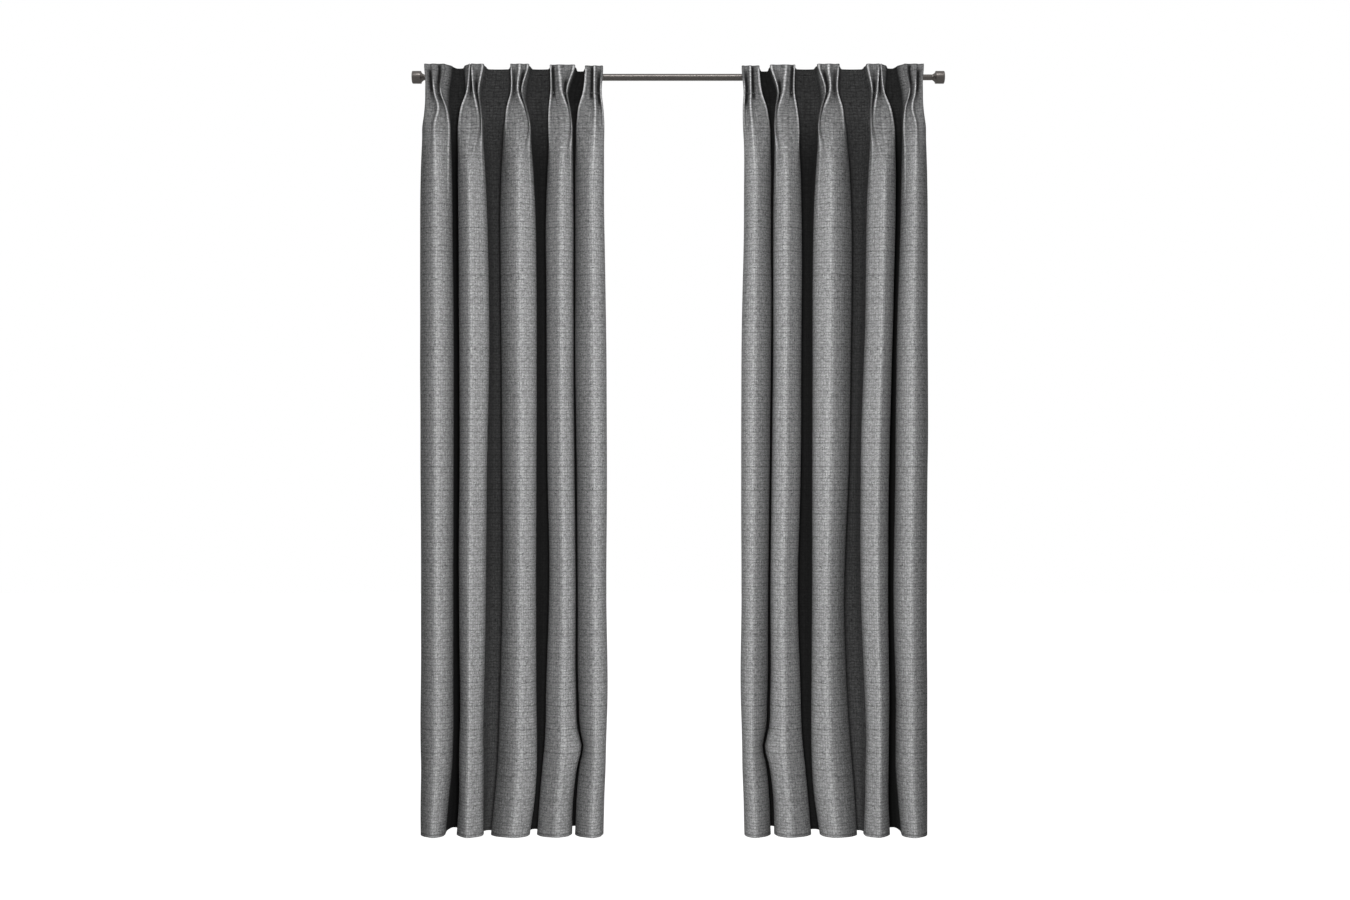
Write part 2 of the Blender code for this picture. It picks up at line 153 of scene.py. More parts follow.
camera_data = bpy.data.cameras.new("camera")
camera_data.lens = LENS
camera_data.sensor_width = 36
camera = bpy.data.objects.new("camera", camera_data)
camera.location = (CAMERA_ASIDE, -CAMERA_BACK, CAMERA_HEIGHT)
camera.rotation_euler = (math.pi / 2, 0, 0)
scene.collection.objects.link(camera)
scene.camera = camera

cloth, fittings = bpy.data.collections.new("cloth"), bpy.data.collections.new("fittings")
scene.collection.children.link(cloth)
scene.collection.children.link(fittings)


def soft_box(name, at, aim, size, watts, lit):
    """A soft box that the camera doesn't see and that lights only what is in the collection lit."""
    lamp = bpy.data.lights.new(name, "AREA")
    lamp.shape = "RECTANGLE"
    lamp.size, lamp.size_y = size
    lamp.energy = watts
    box = bpy.data.objects.new(name, lamp)
    box.location = at
    box.rotation_euler = (Vector(aim) - Vector(at)).to_track_quat("-Z", "Y").to_euler()
    box.visible_camera = False
    scene.collection.objects.link(box)
    box.light_linking.receiver_collection = lit


soft_box("cloth_key", (0, -2.75, middle_height + 0.2), (0, -0.15, middle_height), (0.45, 2.8), 84, cloth)
soft_box("metal_key", (0, -2.4, 2.3), (0, -0.1, 0), (2.4, 0.4), 13, fittings)
soft_box("back_fill", (0, 3.4, middle_height + 0.5), (0, 0, middle_height), (2.2, 2.2), 58, cloth)
for name, x in (("left_fill", -3.4), ("right_fill", 3.4)):
    soft_box(name, (x, 1.3, middle_height + 0.4), (0, 0, middle_height), (1.4, 2.2), 40, cloth)


# ---- wall brackets ------------------------------------------------------------------------------
# Behind each panel a nickel-plated wall plate, held by two zinc pan-head screws, has a boss that
# takes a round arm. The arm ends in a cup for the rod. A grub screw locks the arm in the boss and a
# knurled thumb screw under the cup locks the rod.
SIDES = ("left", "right")


def new_group(name, inputs, outputs):
    """An empty node group with these sockets, and what its input node gives out."""
    group = bpy.data.node_groups.new(name, "ShaderNodeTree")
    for way, sockets in (("INPUT", inputs), ("OUTPUT", outputs)):
        for socket, kind in sockets.items():
            group.interface.new_socket(socket, in_out=way, socket_type=kind)
    return group, add_node(group, "NodeGroupInput").outputs


SMUDGE_SCALE = 45.0
SMUDGE_TONE = 0.02            # how much the smudges change the metal's colour
SMUDGE_ROUGH = 0.10           # and its roughness
LINE_ROUGH = 0.16
METAL_BUMP = 0.35


def noise(tree, at, scale, detail, roughness=0.5):
    return add_node(tree, "ShaderNodeTexNoise", {"Vector": at, "Scale": scale, "Detail": detail,
                                                 "Roughness": roughness}).outputs["Fac"]


polishing_lines, given = new_group(
    "polishing_lines",
    {"Lines": "NodeSocketVector", "Place": "NodeSocketVector", "Colour": "NodeSocketColor",
     "Contrast": "NodeSocketFloat", "Roughness": "NodeSocketFloat"},
    {"Colour": "NodeSocketColor", "Roughness": "NodeSocketFloat", "Height": "NodeSocketFloat"})
tree = polishing_lines
line = noise(tree, given["Lines"], 1.0, 3.0, 0.6)
smudge = noise(tree, given["Place"], SMUDGE_SCALE, 4.0, 0.55)
line_swing = calc(tree, "SUBTRACT", line, 0.5)
smudge_swing = calc(tree, "SUBTRACT", smudge, 0.5)
swing = calc(tree, "MULTIPLY", line_swing, given["Contrast"])
swing = calc(tree, "MULTIPLY_ADD", smudge_swing, SMUDGE_TONE, swing)
tone = calc(tree, "MULTIPLY_ADD", swing, 2.0, 1.0)
coloured = add_node(tree, "ShaderNodeVectorMath", {0: given["Colour"], "Scale": tone}, operation="SCALE")
rough = calc(tree, "MULTIPLY_ADD", smudge_swing, SMUDGE_ROUGH, given["Roughness"])
rough = calc(tree, "MULTIPLY_ADD", line_swing, LINE_ROUGH, rough)
add_node(tree, "NodeGroupOutput", {"Colour": coloured.outputs[0], "Roughness": rough, "Height": line})


def metal_finish(name, colour, streak, relief, roughness, contrast=0.08):
    """Plated metal with fine polishing lines; streak scales the lines along x, y and z."""
    made, tree, shader = new_material(name)
    place = add_node(tree, "ShaderNodeTexCoord").outputs["Object"]
    lines = add_node(tree, "ShaderNodeMapping", {"Vector": place, "Scale": streak}).outputs[0]
    group = add_node(tree, "ShaderNodeGroup", node_tree=polishing_lines)
    feed(tree, group, {"Lines": lines, "Place": place, "Colour": (*colour, 1), "Contrast": contrast,
                       "Roughness": roughness})
    bump = add_node(tree, "ShaderNodeBump", {"Height": group.outputs["Height"], "Distance": relief,
                                             "Strength": METAL_BUMP})
    feed(tree, shader, {"Base Color": group.outputs["Colour"], "Roughness": group.outputs["Roughness"],
                        "Normal": bump.outputs["Normal"], "Metallic": 1.0})
    return made


NICKEL = (0.44, 0.405, 0.38)
ZINC = (0.56, 0.57, 0.58)
cast_nickel = metal_finish("satin_nickel_cast", NICKEL, (260, 260, 18), 0.00005, 0.34)
zinc_plate = metal_finish("zinc_plated_screw", ZINC, (120, 120, 120), 0.00004, 0.38, 0.10)


def turned(name, profile, at, axis, finish, steps=72, sharp=30):
    """Turns a profile of (along, radius) points about the axis through the point at."""
    frame_of = Vector(axis).to_track_quat("Z", "Y").to_matrix()
    rings, points = [], []
    for along, radius in profile:
        if radius < 1e-7:
            rings.append([len(points)])
            points.append(Vector(at) + frame_of @ Vector((0, 0, along)))
            continue
        rings.append(list(range(len(points), len(points) + steps)))
        for k in range(steps):
            turn = 2 * math.pi * k / steps
            points.append(Vector(at) + frame_of @ Vector((radius * math.cos(turn),
                                                          radius * math.sin(turn), along)))
    faces = []
    for a, b in zip(rings, rings[1:]):
        for k in range(steps):
            n = (k + 1) % steps
            face = [a[k % len(a)], a[n % len(a)], b[n % len(b)], b[k % len(b)]]
            face = [v for m, v in enumerate(face) if v != face[m - 1]]
            if len(face) > 2:
                faces.append(face)
    return finished(name, points, faces, finish, sharp)


def finished(name, points, faces, finish, sharp=30, group=fittings):
    """A piece made of these faces, smooth but for edges sharper than so many degrees."""
    mesh = bpy.data.meshes.new(name)
    mesh.from_pydata(points, [], faces)
    shape = bmesh.new()
    shape.from_mesh(mesh)
    bmesh.ops.recalc_face_normals(shape, faces=shape.faces)
    shape.to_mesh(mesh)
    shape.free()
    mesh.materials.append(finish)
    mesh.shade_smooth()
    mesh.set_sharp_from_angle(angle=math.radians(sharp))
    made = bpy.data.objects.new(name, mesh)
    group.objects.link(made)
    return made


def stands_for(piece, body, node):
    """Puts a piece in the place of a node, on a body, and hides the node."""
    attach(piece, body)
    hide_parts(node)


def refinish(node, finish):
    """Keeps a node's own mesh and gives it a new finish."""
    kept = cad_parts[node]
    kept.data.materials.clear()
    kept.data.materials.append(finish)
    fittings.objects.link(kept)


def apply_modifiers(made):
    """Swaps an object's mesh for the one that its modifiers make of it."""
    graph = bpy.context.evaluated_depsgraph_get()
    mesh = bpy.data.meshes.new_from_object(made.evaluated_get(graph))
    made.modifiers.clear()
    plain = made.data
    made.data = mesh
    bpy.data.meshes.remove(plain)
    mesh.name = made.name


def centre(node):
    """Middle of a node's box."""
    low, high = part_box(node)
    return (low + high) / 2


SCREW_SHANK = 0.0020
SCREW_HEAD = 0.0042
HEAD_SHARE = 0.47             # share of a wall screw's length that its head takes
SLOT_LENGTH = 0.0052
SLOT_DEPTH = 0.0030
SLOT_WIDTH = 0.0010
SLOT_TURN = 0.4
THUMB_SHANK = 0.0020
THUMB_HEAD = 0.0065
THUMB_HEIGHT = 0.0070
KNURLS = 60
KNURL = 0.00025
# how far up the thumb screw's head each round of points lies, and its share of the full radius
THUMB_ROUNDS = ((0.0, 0.0), (0.0, 0.72), (0.0005, 0.90), (0.0012, 1.0), (THUMB_HEIGHT - 0.0012, 1.0),
                (THUMB_HEIGHT - 0.0005, 0.90), (THUMB_HEIGHT, 0.72), (THUMB_HEIGHT, 0.30))


def slot_cutter(at, turn):
    """A wedge that narrows towards the bottom of a screw's slot, turned about the screw's axis."""
    shape = bmesh.new()
    bmesh.ops.create_cube(shape, size=1.0)
    for v in shape.verts:
        taper = 0.7 if v.co.y > 0 else 1.15
        v.co = Vector((v.co.x * SLOT_LENGTH * taper, v.co.y * SLOT_DEPTH, v.co.z * SLOT_WIDTH * taper))
    bmesh.ops.rotate(shape, verts=shape.verts, matrix=Matrix.Rotation(turn, 3, "Y"))
    bmesh.ops.translate(shape, verts=shape.verts, vec=at)
    bmesh.ops.recalc_face_normals(shape, faces=shape.faces)
    mesh = bpy.data.meshes.new("cross_slot")
    shape.to_mesh(mesh)
    shape.free()
    made = bpy.data.objects.new("cross_slot", mesh)
    scene.collection.objects.link(made)
    return made


for side_name in SIDES:
    refinish(f"{side_name}_bracket_plate", cast_nickel)
    refinish(f"{side_name}_bracket_arm", cast_nickel)
    refinish(f"{side_name}_grub_screw", zinc_plate)

    for row in ("lower", "upper"):
        node = f"{side_name}_wall_screw_{row}"
        low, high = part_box(node)
        x, z = centre(node).x, centre(node).z
        depth = high.y - low.y
        head = depth * HEAD_SHARE
        profile = [(0, 0), (0, SCREW_SHANK), (depth - head, SCREW_SHANK),
                   (depth - head, SCREW_HEAD - 0.0003)]
        profile += [(depth - head + head * math.sin(a), SCREW_HEAD * math.cos(a) ** 0.6)
                    for a in np.radians(np.linspace(4, 84, 9))]
        profile.append((depth, 0))
        screw = turned(node + "_turned", profile, (x, high.y, z), (0, -1, 0), zinc_plate, steps=40)
        cutters = [slot_cutter((x, low.y, z), turn + SLOT_TURN) for turn in (0.0, math.pi / 2)]
        for cutter in cutters:
            cross = screw.modifiers.new("cross", "BOOLEAN")
            cross.operation = "DIFFERENCE"
            cross.object = cutter
            cross.solver = "EXACT"
        apply_modifiers(screw)
        for cutter in cutters:
            bpy.data.objects.remove(cutter)
        stands_for(screw, "root", node)

    node = f"{side_name}_thumb_screw"
    low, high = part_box(node)
    x, y = centre(node).x, centre(node).y
    rounds = [(low.z + up, THUMB_HEAD * share - KNURL if share else 1e-5, KNURL if share == 1.0 else 0.0)
              for up, share in THUMB_ROUNDS]
    rounds.append((high.z, THUMB_SHANK, 0.0))
    points, faces = [], []
    for level, (z, radius, ridge) in enumerate(rounds):
        for k in range(KNURLS):
            turn = 2 * math.pi * k / KNURLS
            reach = radius + (ridge if k % 2 else -ridge)
            points.append((x + reach * math.cos(turn), y + reach * math.sin(turn), z))
            if level:
                a, n = (level - 1) * KNURLS, (k + 1) % KNURLS
                faces.append((a + k, a + n, a + KNURLS + n, a + KNURLS + k))
    faces.append(tuple(range(len(points) - KNURLS, len(points))))
    faces.append(tuple(range(KNURLS)))
    thumb = finished(node + "_knurled", points, faces, cast_nickel)
    stands_for(thumb, "root", node)


# ---- rod and finials ----------------------------------------------------------------------------
# Two thin steel tubes, brushed lengthwise and nickel plated, one sliding in the other. A black
# plastic plug in each open end takes the stud of a finial, which is turned from one bar: a neck
# that flares into a plain round cap with softened edges.
TUBE_WALL = 0.0012
LIP = 0.0003
rod_nickel = metal_finish("brushed_nickel_rod", NICKEL, (9, 900, 900), 0.000003, 0.26, 0.04)
turned_nickel = metal_finish("turned_nickel_finial", NICKEL, (900, 14, 14), 0.000004, 0.30, 0.05)

for node, body in (("outer_tube", "root"), ("inner_tube", "rod_extension")):
    low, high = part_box(node)
    length, radius = high.x - low.x, (high.z - low.z) / 2
    bore = radius - TUBE_WALL
    profile = [(LIP, bore), (0, bore + LIP), (0, radius - LIP), (LIP / 3, radius - LIP / 3), (LIP, radius)]
    profile += [(length * k / 12, radius) for k in range(1, 12)]
    profile += [(length - LIP, radius), (length - LIP / 3, radius - LIP / 3), (length, radius - LIP),
                (length, bore + LIP), (length - LIP, bore)]
    profile += [(length * k / 12, bore) for k in range(11, 0, -1)] + [(LIP, bore)]
    tube = turned(node + "_drawn", profile, (low.x, centre(node).y, centre(node).z), (1, 0, 0), rod_nickel)
    stands_for(tube, body, node)

CAP_EDGE = 0.0022             # radius of the cap's rounded front edge
BACK_EDGE = 0.0008
FLARE = 0.0110                # length of the flare, and its radius where it meets the cap
FLARE_RADIUS = 0.0155
NECK = 0.0077
NECK_EDGE = 0.0003
STUD = 0.0040
STUD_EDGE = 0.0004
STUD_LENGTH = 0.020


def rounded(corner, radius, start, end, steps=5):
    """Profile points on a rounded corner, angles in degrees from the axis direction."""
    return [(corner[0] + radius * math.cos(a), corner[1] + radius * math.sin(a))
            for a in np.radians(np.linspace(start, end, steps + 1))]


for node, body, way in (("left_finial", "root", -1), ("right_finial", "rod_extension", 1)):
    low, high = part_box(node)
    cap = (high.z - low.z) / 2
    stud_end, tip = (high.x, low.x) if way < 0 else (low.x, high.x)
    foot = stud_end + way * STUD_LENGTH
    length = abs(tip - foot)
    profile = [(-STUD_LENGTH, 0), (-STUD_LENGTH, STUD - STUD_EDGE), (-STUD_LENGTH + STUD_EDGE, STUD),
               (0, STUD), (0, NECK - NECK_EDGE), (NECK_EDGE, NECK)]
    profile += [(FLARE * k / 14, NECK + (FLARE_RADIUS - NECK) * (k / 14) ** 2) for k in range(1, 15)]
    profile += rounded((FLARE + BACK_EDGE, cap - BACK_EDGE), BACK_EDGE, 180, 90, 4)
    profile += rounded((length - CAP_EDGE, cap - CAP_EDGE), CAP_EDGE, 90, 0, 7)
    profile += [(length, cap * 0.4), (length, 0)]
    finial = turned(node + "_turned", profile, (foot, centre(node).y, centre(node).z), (way, 0, 0),
                    turned_nickel, steps=96, sharp=40)
    stands_for(finial, body, node)

moulded_plastic, tree, shader = new_material("black_moulded_plastic")
grain = add_node(tree, "ShaderNodeTexNoise", {"Scale": 900.0, "Detail": 2.0}).outputs["Fac"]
shade = add_node(tree, "ShaderNodeMix", {"Factor": grain, "A": (0.018, 0.018, 0.019, 1),
                                         "B": (0.036, 0.036, 0.038, 1)}, data_type="RGBA")
feed(tree, shader, {"Base Color": shade.outputs["Result"],
                    "Roughness": ranged(tree, grain, 0.3, 0.7, 0.45, 0.62)})
for side_name in SIDES:
    refinish(f"{side_name}_rod_plug", moulded_plastic)


# ---- rings and hooks ----------------------------------------------------------------------------
# Ten bent-wire rings run on the rod, one behind each pleat, each with a small brazed eye below. A
# drapery pin of bright spring wire hangs in every eye, with its pin pushed up into the heading.
RING_WIRE = 0.0015            # radius of the ring's wire, and of the eye's
EYE_WIRE = 0.0009
EYE_BORE = 0.0025
ring_nickel = metal_finish("plated_ring_wire", NICKEL, (300, 300, 300), 0.00003, 0.28, 0.10)
pin_steel = metal_finish("bright_spring_wire", (0.62, 0.62, 0.61), (40, 40, 900), 0.00002, 0.24, 0.10)


def wire_loop(at, radius, wire, axis, steps, around=12):
    """Points and faces of a closed ring of round wire about an axis through at."""
    frame_of = Vector(axis).to_track_quat("Z", "Y").to_matrix()
    points, faces = [], []
    for k in range(steps):
        turn = 2 * math.pi * k / steps
        for m in range(around):
            lean = 2 * math.pi * m / around
            reach = radius + wire * math.cos(lean)
            points.append(Vector(at) + frame_of @ Vector((reach * math.cos(turn), reach * math.sin(turn),
                                                          wire * math.sin(lean))))
            a, b = k * around, (k + 1) % steps * around
            n = (m + 1) % around
            faces.append((a + m, b + m, b + n, a + n))
    return points, faces


for side_name in SIDES:
    for number in range(1, 6):
        body = "root" if number == 1 else f"{side_name}_pleat_{number}"
        node = f"{side_name}_ring_{number}"
        low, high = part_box(node)
        ring_radius = (high.y - low.y) / 2 - RING_WIRE
        middle = Vector((centre(node).x, centre(node).y, high.z - ring_radius - RING_WIRE))
        eye_radius = EYE_BORE + EYE_WIRE
        eye = Vector((middle.x, middle.y, low.z + eye_radius + EYE_WIRE))
        points, faces = wire_loop(middle, ring_radius, RING_WIRE, (1, 0, 0), 64)
        more, loops = wire_loop(eye, eye_radius, EYE_WIRE, (0, 1, 0), 28, 10)
        faces += [tuple(v + len(points) for v in face) for face in loops]
        ring = finished(node + "_bent", points + more, faces, ring_nickel, 60)
        stands_for(ring, body, node)
        refinish(f"{side_name}_hook_{number}", pin_steel)


# ---- cloth panels -------------------------------------------------------------------------------
# Each panel is one cut of heathered basket weave, gathered at the top into five triple pinch pleats
# over a stiffened heading. Below each pleat it opens into one deep round fold, and between two folds
# it goes back towards the wall. Its bottom, sides and top are turned to the back and sewn.
CLOTH_THICKNESS = 0.0016
HEADING = 0.080               # top edge to the tacked pinch
PLEAT_TIP_Y = -0.1470
HEADING_Y = -0.1036           # front face of the flat heading between two pleats
FOLD_FRONT_Y = -0.1510
FULL_FOLD = 0.300             # depth below the top where the folds have their full shape
# how far behind a fold's front lie its side crests, its widest part, its walls and its two troughs
SIDE_CREST_BACK = 0.017
WIDEST_BACK = 0.038
WALL_BACK = 0.063
TROUGH_BACKS = (0.0062, 0.0058)
DROP = highest.z - lowest.z
TOP = highest.z
OUTER_EDGE = 0.696            # of a panel, from the middle of the rod

# where a fold's two edges lie, inwards from the panel's outer edge, at these depths below the top
EDGE_DEPTHS = (0.184, 0.377, 0.735, 1.120, 1.478, 1.754, 1.850, 1.885, 1.946, 2.029, 2.134)
FOLD_EDGES = (
    ((-0.006, -0.009, -0.009, -0.009, -0.007, -0.008, -0.008, -0.008, -0.007, -0.007, -0.007),
     (0.0765, 0.078, 0.082, 0.082, 0.081, 0.081, 0.081, 0.080, 0.078, 0.070, 0.060)),
    ((0.094, 0.096, 0.099, 0.100, 0.098, 0.101, 0.101, 0.100, 0.099, 0.098, 0.092),
     (0.166, 0.175, 0.182, 0.176, 0.173, 0.168, 0.166, 0.166, 0.167, 0.166, 0.165)),
    ((0.219, 0.214, 0.216, 0.219, 0.218, 0.213, 0.210, 0.209, 0.206, 0.199, 0.188),
     (0.2985, 0.309, 0.313, 0.3135, 0.312, 0.313, 0.314, 0.314, 0.313, 0.308, 0.294)),
    ((0.349, 0.342, 0.342, 0.344, 0.349, 0.341, 0.339, 0.337, 0.331, 0.323, 0.315),
     (0.4145, 0.4150, 0.4155, 0.4185, 0.422, 0.423, 0.428, 0.437, 0.425, 0.415, 0.412)),
    ((0.4225, 0.4220, 0.4220, 0.4255, 0.429, 0.431, 0.436, 0.444, 0.434, 0.427, 0.421),
     (0.502, 0.501, 0.507, 0.509, 0.508, 0.510, 0.507, 0.506, 0.505, 0.502, 0.500)),
)
# the three fingers of each pleat at the top, at the pinch, and as they open below it; the two edges
# of the pleat at the top and at the pinch; how far across each of its two clefts lies; between which
# depths a dark line of painted shade lies in each closed cleft, as (cleft, from, to), and a pale line
# of painted highlight on each pressed crease, as (finger, from, to)
FINGER_DEPTHS = (0.008, 0.080, 0.120, 0.165, 0.240)
PLEATS = (
    dict(fingers=((0.009, 0.014, 0.012, 0.009), (0.030, 0.0355, 0.046, 0.036),
                  (0.062, 0.053, 0.067, 0.0745)),
         top=(0.004, 0.082), pinch=(0.003, 0.073), clefts=(0.60, 0.60),
         cleft_shade_spans=((0, 0.015, 0.075), (1, 0.0, 0.055)),
         crease_highlight_spans=((1, 0.050, 0.36), (2, 0.075, 0.40))),
    dict(fingers=((0.132, 0.1235, 0.109, 0.1025), (0.1375, 0.144, 0.153, 0.159),
                  (0.168, 0.1565, 0.161, 0.1645)),
         top=(0.112, 0.174), pinch=(0.115, 0.161), clefts=(0.5, 0.45),
         cleft_shade_spans=((0, 0.030, 0.075), (1, 0.045, 0.085)),
         crease_highlight_spans=((0, 0.0, 0.20), (1, 0.015, 0.15), (2, 0.0, 0.08), (2, 0.15, 0.34))),
    dict(fingers=((0.247, 0.2465, 0.2355, 0.232), (0.2705, 0.2665, 0.281, 0.2915),
                  (0.293, 0.2765, 0.287, 0.2970)),
         top=(0.240, 0.298), pinch=(0.239, 0.287), clefts=(0.3, 0.5),
         cleft_shade_spans=((1, 0.020, 0.080),),
         crease_highlight_spans=((0, 0.015, 0.19), (1, 0.0, 0.15), (2, 0.0, 0.08), (2, 0.16, 0.42))),
    dict(fingers=((0.356, 0.3565, 0.352, 0.350), (0.379, 0.3875, 0.401, 0.408),
                  (0.420, 0.400, 0.4070, 0.4130)),
         top=(0.350, 0.424), pinch=(0.351, 0.405), clefts=(0.22, 0.6),
         cleft_shade_spans=((0, 0.0, 0.09), (1, 0.040, 0.088)),
         crease_highlight_spans=((0, 0.0, 0.26), (1, 0.0, 0.15), (2, 0.0, 0.085), (2, 0.16, 0.38))),
    dict(fingers=((0.453, 0.4455, 0.434, 0.429), (0.476, 0.4765, 0.479, 0.4785),
                  (0.497, 0.4935, 0.498, 0.5015)),
         top=(0.447, 0.501), pinch=(0.439, 0.496), clefts=(0.75, 0.65),
         cleft_shade_spans=((0, 0.0, 0.095), (1, 0.030, 0.11)),
         crease_highlight_spans=((0, 0.01, 0.16), (1, 0.0, 0.34), (2, 0.05, 0.18))),
)
TOP_DROPS = (0.0, 0.0, 0.0, 0.0025, 0.005)          # how far each pleat's top lies below the first
FLAT_DROPS = (0.003, 0.0055, 0.0055, 0.011)         # and the flat heading after it
HEM_RISES = (0.003, 0.001, 0.001, 0.008)            # the hem between two folds, above the folds
GAP_BACKS = (-0.046, -0.070, -0.056, -0.048)        # y of the cloth between two folds
CRESTS = (0.56, 0.47, 0.60, 0.60, 0.63)             # where a fold's front stands out furthest


def smooth(low, high, value):
    """0 below low, 1 above high, and a smooth rise between them."""
    t = np.clip((value - low) / (high - low), 0, 1)
    return t * t * (3 - 2 * t)


def down(depths, values, t):
    """A length that runs smoothly through its values down the drop."""
    depths, values = np.asarray(depths), np.asarray(values)
    slopes = np.gradient(values, depths)
    k = np.clip(np.searchsorted(depths, t, side="right") - 1, 0, len(depths) - 2)
    step = depths[k + 1] - depths[k]
    u = np.clip((t - depths[k]) / step, 0, 1)
    a, b, c, d = 2 * u**3 - 3 * u**2 + 1, u**3 - 2 * u**2 + u, -2 * u**3 + 3 * u**2, u**3 - u**2
    return a * values[k] + b * step * slopes[k] + c * values[k + 1] + d * step * slopes[k + 1]


def mixed(a, b, share):
    return a + (b - a) * share


def plain_edges(number, t):
    """A fold's two edges without the knock that two folds give each other near the hem."""
    return [down(EDGE_DEPTHS[:6] + EDGE_DEPTHS[8:], edge[:6] + edge[8:], np.maximum(t, EDGE_DEPTHS[0]))
            for edge in FOLD_EDGES[number]]


def fold_controls(number, t):
    """One fold's section at every depth t: its (inwards, y) points in order, and its two edges."""
    pleat = PLEATS[number]
    opened = smooth(HEADING - 0.004, FULL_FOLD, t)
    below = smooth(HEADING - 0.004, HEADING + 0.100, t)
    heads = [mixed(at_top, at_pinch, smooth(0, HEADING, t))
             for at_top, at_pinch in zip(pleat["top"], pleat["pinch"])]
    outer, inner = (mixed(head, down(EDGE_DEPTHS, edge, np.maximum(t, EDGE_DEPTHS[0])), below)
                    for head, edge in zip(heads, FOLD_EDGES[number]))
    crest = mixed(*plain_edges(number, t), CRESTS[number])

    fingers = []
    for finger, full in zip(pleat["fingers"], (mixed(outer, inner, 0.16), crest, mixed(outer, inner, 0.92))):
        head = down(FINGER_DEPTHS, (*finger, finger[-1]), np.minimum(t, FINGER_DEPTHS[-1]))
        fingers.append(mixed(head, full, smooth(0.150, 0.340, t)))
    one, two, three = fingers

    def trough(a, b, cleft, back):
        """Between two fingers: shallow where they are pressed together, deeper where they part."""
        gather = (0.030 / (1 + ((b - a) / 0.012) ** 2) + 0.007) * (0.3 + 0.7 * smooth(0.0, 0.022, t))
        y = mixed(PLEAT_TIP_Y + gather, FOLD_FRONT_Y + back, opened)
        return mixed(a, b, mixed(cleft, 0.5, opened)), y

    tip = mixed(PLEAT_TIP_Y, FOLD_FRONT_Y, opened)
    side_tip = mixed(PLEAT_TIP_Y + 0.001, FOLD_FRONT_Y + SIDE_CREST_BACK, opened)
    widest = mixed(PLEAT_TIP_Y + 0.007, FOLD_FRONT_Y + WIDEST_BACK, opened)
    wall = mixed(-0.122, FOLD_FRONT_Y + WALL_BACK, opened)
    points = [(mixed(heads[0] + 0.003, outer + 0.001, below), wall),
              (mixed(one - 0.003, outer, opened), widest),
              (one, side_tip),
              trough(one, two, pleat["clefts"][0], TROUGH_BACKS[0]),
              (two, tip),
              trough(two, three, pleat["clefts"][1], TROUGH_BACKS[1]),
              (three, side_tip),
              (mixed(three + 0.003, inner, opened), widest),
              (mixed(heads[1] - 0.003, inner - 0.001, below), wall)]
    return points, (outer, inner)


# how many faces the cloth has in each kind of stretch, and the stretches of one fold
SAMPLES = {"side": 4, "front": 6, "ridge": 6, "web": 5}
FOLD_KINDS = ("side", "front", "ridge", "front", "ridge", "front", "ridge", "front", "side")
LEAD_IN_POINTS = 2
GAP_POINTS = 4


def panel_controls(t):
    """The whole section at every depth, and what kind of stretch follows each of its points."""
    folds = [fold_controls(number, t) for number in range(len(PLEATS))]
    opened = smooth(HEADING - 0.004, FULL_FOLD, t)
    outer, inner = folds[0][1][0], folds[-1][1][1]
    line = [("side", mixed(outer + 0.004, outer + 0.016, opened), mixed(HEADING_Y, -0.055, opened)),
            ("side", mixed(outer + 0.002, outer + 0.004, opened), mixed(-0.112, -0.072, opened))]
    for number, (points, edges) in enumerate(folds):
        if number:
            start, end, back = folds[number - 1][1][1], edges[0], GAP_BACKS[number - 1]
            middle, half = (start + end) / 2, (end - start) / 2
            reach = mixed(half * 0.94, np.maximum(half * 0.92, 0.015), opened)
            web = mixed(HEADING_Y, back, opened)
            corner = mixed(HEADING_Y - 0.004, back - 0.014, opened)
            line += [("side", middle - reach, corner), ("web", middle - half * 0.45, web),
                     ("web", middle + half * 0.45, web), ("side", middle + reach, corner)]
        line += [(kind, *point) for kind, point in zip(FOLD_KINDS, points)]
    line += [("side", mixed(inner - 0.002, inner - 0.003, opened), mixed(-0.112, -0.070, opened)),
             ("side", mixed(inner - 0.004, inner - 0.014, opened), mixed(HEADING_Y, -0.056, opened))]
    return [(a + 0 * t, y + 0 * t) for _, a, y in line], [kind for kind, _, _ in line]


def spline(points, samples):
    """Centripetal curve through the points of every row, with so many samples in each stretch."""
    first = 2 * points[:, :1] - points[:, 1:2]
    last = 2 * points[:, -1:] - points[:, -2:-1]
    padded = np.concatenate([first, points, last], axis=1)
    gap = np.sqrt(np.maximum(np.linalg.norm(np.diff(padded, axis=1), axis=2), 1e-6))[..., None]
    out = []
    for k, count in enumerate(samples):
        p0, p1, p2, p3 = (padded[:, k + n] for n in range(4))
        g0, g1, g2 = (gap[:, k + n] for n in range(3))
        m1 = (p2 - p1) + g1 * ((p1 - p0) / g0 - (p2 - p0) / (g0 + g1))
        m2 = (p2 - p1) + g1 * ((p3 - p2) / g2 - (p3 - p1) / (g1 + g2))
        for u in np.arange(count) / count:
            a, b = 2 * u**3 - 3 * u**2 + 1, u**3 - 2 * u**2 + u
            out.append(a * p1 + b * m1 + (1 - a) * p2 + (u**3 - u**2) * m2)
    out.append(points[:, -1])
    return np.stack(out, axis=1)


